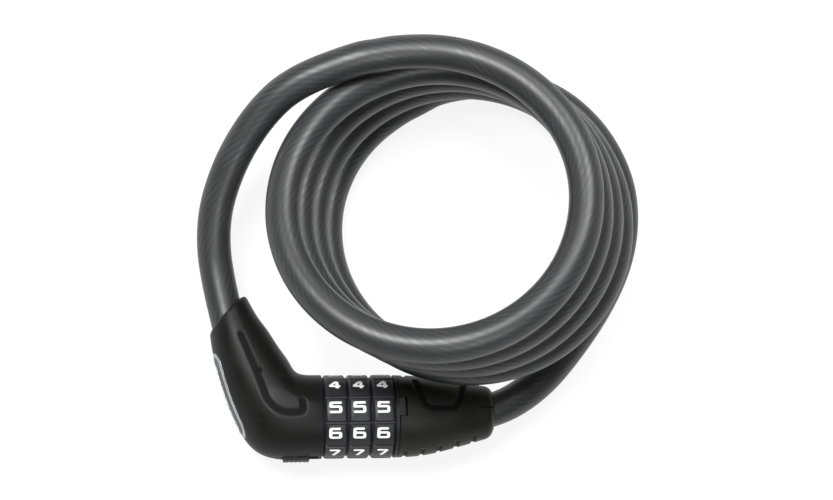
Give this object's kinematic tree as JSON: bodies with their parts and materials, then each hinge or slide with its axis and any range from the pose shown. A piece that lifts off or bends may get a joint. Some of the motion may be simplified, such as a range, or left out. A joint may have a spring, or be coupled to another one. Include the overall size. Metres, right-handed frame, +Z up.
{
  "type": "coil cable combination lock",
  "caption": "Combination lock with number dials between a bent housing and a pull-out plug, joined by a thick covered steel cable wound in a coil.",
  "frame": {"origin": "on the resting surface, under the middle of the lock body's box without its cable", "axes": "+X along the barrel from the bent housing to the plug, +Y away from the viewer towards the coil, +Z up"},
  "size_m": [0.1364, 0.1243, 0.0667],
  "materials": {
    "housing": "satin, finely grained",
    "dial_plastic": "satin",
    "figures": "printed, matt",
    "bright_metal": "polished",
    "steel": "turned",
    "cable_cover": "smooth clear cover over twisted steel"
  },
  "bodies": {
    "lock": {"elbow_cover": "housing", "elbow_core": "steel", "elbow_ferrule": "steel", "elbow_pin": "steel", "badge_frame": "bright_metal", "badge_plate": "housing", "barrel_tube": "steel", "detent_spring": "steel", "dial_shims": "steel", "end_collar": "dial_plastic", "retaining_ring": "steel", "cable_elbow_lead": "cable_cover", "cable_coil": "cable_cover", "cable_plug_lead": "cable_cover"},
    "reset": {"reset_slider": "housing", "code_carriage": "steel"},
    "plug": {"plug_cover": "housing", "plug_core": "steel", "plug_ferrule": "steel", "plug_pin": "steel", "bolt": "steel"},
    "dial_1": {"dial_1": "dial_plastic"},
    "code_ring_1": {"code_ring_1": "steel"},
    "dial_2": {"dial_2": "dial_plastic"},
    "code_ring_2": {"code_ring_2": "steel"},
    "dial_3": {"dial_3": "dial_plastic"},
    "code_ring_3": {"code_ring_3": "steel"}
  },
  "joints": [
    {"name": "dial_1_spin", "type": "hinge", "parent": "lock", "child": "dial_1", "pos_m": [-0.0056, -0.01132, 0.0128], "axis": [1, 0, 0], "continuous": true},
    {"name": "dial_2_spin", "type": "hinge", "parent": "lock", "child": "dial_2", "pos_m": [0.00135, -0.01132, 0.0128], "axis": [1, 0, 0], "continuous": true},
    {"name": "dial_3_spin", "type": "hinge", "parent": "lock", "child": "dial_3", "pos_m": [0.0083, -0.01132, 0.0128], "axis": [1, 0, 0], "continuous": true},
    {"name": "ring_1_shift", "type": "slide", "parent": "dial_1", "child": "code_ring_1", "axis": [1, 0, 0], "range_m": [0, 0.0024]},
    {"name": "ring_2_shift", "type": "slide", "parent": "dial_2", "child": "code_ring_2", "axis": [1, 0, 0], "range_m": [0, 0.0024]},
    {"name": "ring_3_shift", "type": "slide", "parent": "dial_3", "child": "code_ring_3", "axis": [1, 0, 0], "range_m": [0, 0.0024]},
    {"name": "reset_slide", "type": "slide", "parent": "lock", "child": "reset", "axis": [1, 0, 0], "range_m": [0, 0.0024]},
    {"name": "plug_slide", "type": "slide", "parent": "lock", "child": "plug", "axis": [1, 0, 0], "range_m": [0, 0.03], "deforming": ["cable_plug_lead"]}
  ],
  "couplings": [
    {"joint": "ring_1_shift", "follows": "reset_slide", "ratio": 1},
    {"joint": "ring_2_shift", "follows": "reset_slide", "ratio": 1},
    {"joint": "ring_3_shift", "follows": "reset_slide", "ratio": 1}
  ]
}
